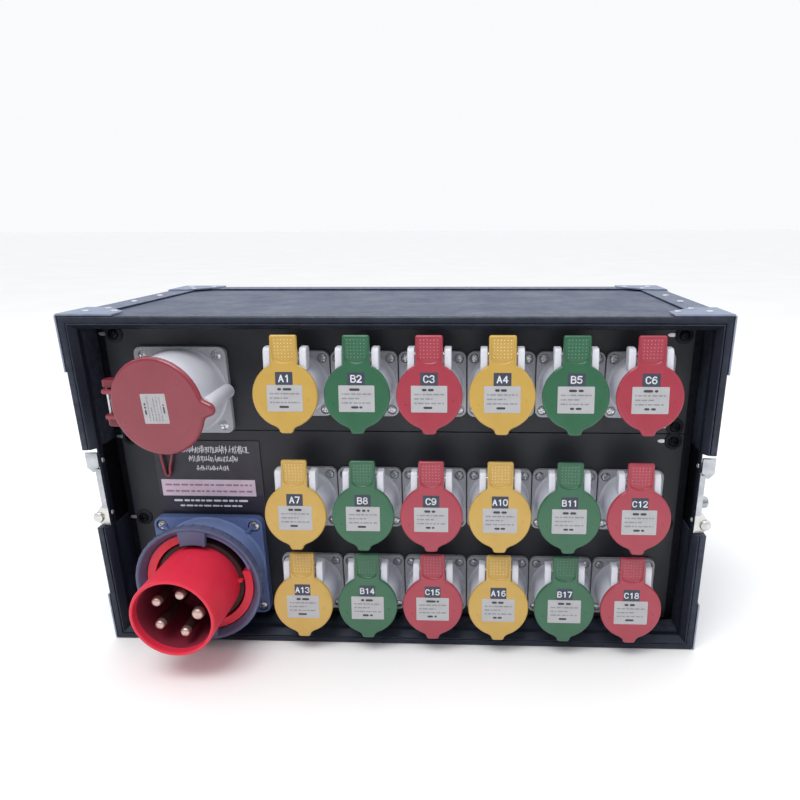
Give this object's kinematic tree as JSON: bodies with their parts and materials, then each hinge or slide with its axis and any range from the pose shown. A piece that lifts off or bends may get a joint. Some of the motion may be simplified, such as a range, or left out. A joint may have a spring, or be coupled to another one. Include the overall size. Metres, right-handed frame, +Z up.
{
  "type": "portable power distribution box",
  "caption": "Rack-sized flight case with recessed panels of hinged-lid round power sockets, a main socket with a side-hinged cap and a supply inlet with a bayonet ring.",
  "frame": {"origin": "centre of the rectangle the case stands on, at floor level", "axes": "+Z up, the front with the sockets faces -Y, +X to the right seen from the front"},
  "size_m": [0.532, 0.3115, 0.2942],
  "materials": {
    "edge_extrusion": "black anodised edge extrusion, satin",
    "laminated_plywood": "dark textured laminate on plywood",
    "plated_steel": "zinc plated steel",
    "black_rack_panel": "black powder coat, satin",
    "label": "dark printed label",
    "copper_bars": "plain busbar metal",
    "socket_white": "light grey moulded plastic, satin",
    "lid_yellow": "yellow moulded plastic, satin gloss",
    "lid_green": "green moulded plastic, satin gloss",
    "lid_red": "red moulded plastic, satin gloss",
    "inlet_grey_blue": "grey-blue moulded plastic",
    "inlet_red": "red moulded plastic",
    "pin_metal": "nickel plated brass"
  },
  "bodies": {
    "case": {"front_frame": "edge_extrusion", "edge_cage": "edge_extrusion", "top_panel": "laminated_plywood", "bottom_panel": "laminated_plywood", "back_panel": "laminated_plywood", "left_panel": "laminated_plywood", "right_panel": "laminated_plywood", "latch_dish_left": "plated_steel", "latch_dish_right": "plated_steel", "rack_rail_left": "plated_steel", "rack_rail_right": "plated_steel", "upper_rack_panel": "black_rack_panel", "lower_rack_panel": "black_rack_panel", "label_plate": "label", "distribution_busbars": "copper_bars", "main_socket": "socket_white", "inlet_housing": "inlet_grey_blue", "inlet_shroud": "inlet_red", "inlet_pins": "pin_metal", "socket_a01": "socket_white", "socket_b02": "socket_white", "socket_c03": "socket_white", "socket_a04": "socket_white", "socket_b05": "socket_white", "socket_c06": "socket_white", "socket_a07": "socket_white", "socket_b08": "socket_white", "socket_c09": "socket_white", "socket_a10": "socket_white", "socket_b11": "socket_white", "socket_c12": "socket_white", "socket_a13": "socket_white", "socket_b14": "socket_white", "socket_c15": "socket_white", "socket_a16": "socket_white", "socket_b17": "socket_white", "socket_c18": "socket_white"},
    "lid_a01": {"lid_a01": "lid_yellow"},
    "lid_b02": {"lid_b02": "lid_green"},
    "lid_c03": {"lid_c03": "lid_red"},
    "lid_a04": {"lid_a04": "lid_yellow"},
    "lid_b05": {"lid_b05": "lid_green"},
    "lid_c06": {"lid_c06": "lid_red"},
    "lid_a07": {"lid_a07": "lid_yellow"},
    "lid_b08": {"lid_b08": "lid_green"},
    "lid_c09": {"lid_c09": "lid_red"},
    "lid_a10": {"lid_a10": "lid_yellow"},
    "lid_b11": {"lid_b11": "lid_green"},
    "lid_c12": {"lid_c12": "lid_red"},
    "lid_a13": {"lid_a13": "lid_yellow"},
    "lid_b14": {"lid_b14": "lid_green"},
    "lid_c15": {"lid_c15": "lid_red"},
    "lid_a16": {"lid_a16": "lid_yellow"},
    "lid_b17": {"lid_b17": "lid_green"},
    "lid_c18": {"lid_c18": "lid_red"},
    "main_cap": {"main_cap": "lid_red"},
    "inlet_ring": {"inlet_ring": "inlet_grey_blue"},
    "butterfly_left": {"butterfly_left": "plated_steel"},
    "butterfly_right": {"butterfly_right": "plated_steel"}
  },
  "joints": [
    {"name": "lid_a01_hinge", "type": "hinge", "parent": "case", "child": "lid_a01", "pos_m": [-0.0815, -0.12457, 0.2635], "axis": [-1, 0, 0], "range_deg": [0, 95], "stiffness_Nm_per_rad": 0.02, "springref_deg": -28.65},
    {"name": "lid_b02_hinge", "type": "hinge", "parent": "case", "child": "lid_b02", "pos_m": [-0.0253, -0.12457, 0.2635], "axis": [-1, 0, 0], "range_deg": [0, 95], "stiffness_Nm_per_rad": 0.02, "springref_deg": -28.65},
    {"name": "lid_c03_hinge", "type": "hinge", "parent": "case", "child": "lid_c03", "pos_m": [0.0309, -0.12457, 0.2635], "axis": [-1, 0, 0], "range_deg": [0, 95], "stiffness_Nm_per_rad": 0.02, "springref_deg": -28.65},
    {"name": "lid_a04_hinge", "type": "hinge", "parent": "case", "child": "lid_a04", "pos_m": [0.0871, -0.12457, 0.2635], "axis": [-1, 0, 0], "range_deg": [0, 95], "stiffness_Nm_per_rad": 0.02, "springref_deg": -28.65},
    {"name": "lid_b05_hinge", "type": "hinge", "parent": "case", "child": "lid_b05", "pos_m": [0.1433, -0.12457, 0.2635], "axis": [-1, 0, 0], "range_deg": [0, 95], "stiffness_Nm_per_rad": 0.02, "springref_deg": -28.65},
    {"name": "lid_c06_hinge", "type": "hinge", "parent": "case", "child": "lid_c06", "pos_m": [0.1995, -0.12457, 0.2635], "axis": [-1, 0, 0], "range_deg": [0, 95], "stiffness_Nm_per_rad": 0.02, "springref_deg": -28.65},
    {"name": "lid_a07_hinge", "type": "hinge", "parent": "case", "child": "lid_a07", "pos_m": [-0.0815, -0.12457, 0.1618], "axis": [-1, 0, 0], "range_deg": [0, 95], "stiffness_Nm_per_rad": 0.02, "springref_deg": -28.65},
    {"name": "lid_b08_hinge", "type": "hinge", "parent": "case", "child": "lid_b08", "pos_m": [-0.0253, -0.12457, 0.1618], "axis": [-1, 0, 0], "range_deg": [0, 95], "stiffness_Nm_per_rad": 0.02, "springref_deg": -28.65},
    {"name": "lid_c09_hinge", "type": "hinge", "parent": "case", "child": "lid_c09", "pos_m": [0.0309, -0.12457, 0.1618], "axis": [-1, 0, 0], "range_deg": [0, 95], "stiffness_Nm_per_rad": 0.02, "springref_deg": -28.65},
    {"name": "lid_a10_hinge", "type": "hinge", "parent": "case", "child": "lid_a10", "pos_m": [0.0871, -0.12457, 0.1618], "axis": [-1, 0, 0], "range_deg": [0, 95], "stiffness_Nm_per_rad": 0.02, "springref_deg": -28.65},
    {"name": "lid_b11_hinge", "type": "hinge", "parent": "case", "child": "lid_b11", "pos_m": [0.1433, -0.12457, 0.1618], "axis": [-1, 0, 0], "range_deg": [0, 95], "stiffness_Nm_per_rad": 0.02, "springref_deg": -28.65},
    {"name": "lid_c12_hinge", "type": "hinge", "parent": "case", "child": "lid_c12", "pos_m": [0.1995, -0.12457, 0.1618], "axis": [-1, 0, 0], "range_deg": [0, 95], "stiffness_Nm_per_rad": 0.02, "springref_deg": -28.65},
    {"name": "lid_a13_hinge", "type": "hinge", "parent": "case", "child": "lid_a13", "pos_m": [-0.0815, -0.12457, 0.0778], "axis": [-1, 0, 0], "range_deg": [0, 95], "stiffness_Nm_per_rad": 0.02, "springref_deg": -28.65},
    {"name": "lid_b14_hinge", "type": "hinge", "parent": "case", "child": "lid_b14", "pos_m": [-0.0253, -0.12457, 0.0778], "axis": [-1, 0, 0], "range_deg": [0, 95], "stiffness_Nm_per_rad": 0.02, "springref_deg": -28.65},
    {"name": "lid_c15_hinge", "type": "hinge", "parent": "case", "child": "lid_c15", "pos_m": [0.0309, -0.12457, 0.0778], "axis": [-1, 0, 0], "range_deg": [0, 95], "stiffness_Nm_per_rad": 0.02, "springref_deg": -28.65},
    {"name": "lid_a16_hinge", "type": "hinge", "parent": "case", "child": "lid_a16", "pos_m": [0.0871, -0.12457, 0.0778], "axis": [-1, 0, 0], "range_deg": [0, 95], "stiffness_Nm_per_rad": 0.02, "springref_deg": -28.65},
    {"name": "lid_b17_hinge", "type": "hinge", "parent": "case", "child": "lid_b17", "pos_m": [0.1433, -0.12457, 0.0778], "axis": [-1, 0, 0], "range_deg": [0, 95], "stiffness_Nm_per_rad": 0.02, "springref_deg": -28.65},
    {"name": "lid_c18_hinge", "type": "hinge", "parent": "case", "child": "lid_c18", "pos_m": [0.1995, -0.12457, 0.0778], "axis": [-1, 0, 0], "range_deg": [0, 95], "stiffness_Nm_per_rad": 0.02, "springref_deg": -28.65},
    {"name": "main_cap_hinge", "type": "hinge", "parent": "case", "child": "main_cap", "pos_m": [-0.2195, -0.1381, 0.2263], "axis": [0, 0, -1], "range_deg": [0, 95], "stiffness_Nm_per_rad": 0.05, "springref_deg": -28.65},
    {"name": "inlet_ring_turn", "type": "hinge", "parent": "case", "child": "inlet_ring", "pos_m": [-0.1716, -0.13, 0.0635], "axis": [0, 1, 0], "range_deg": [0, 60]},
    {"name": "butterfly_left_turn", "type": "hinge", "parent": "case", "child": "butterfly_left", "pos_m": [-0.2525, -0.0955, 0.146], "axis": [1, 0, 0], "range_deg": [0, 180]},
    {"name": "butterfly_right_turn", "type": "hinge", "parent": "case", "child": "butterfly_right", "pos_m": [0.2525, -0.0955, 0.146], "axis": [1, 0, 0], "range_deg": [0, 180]}
  ]
}
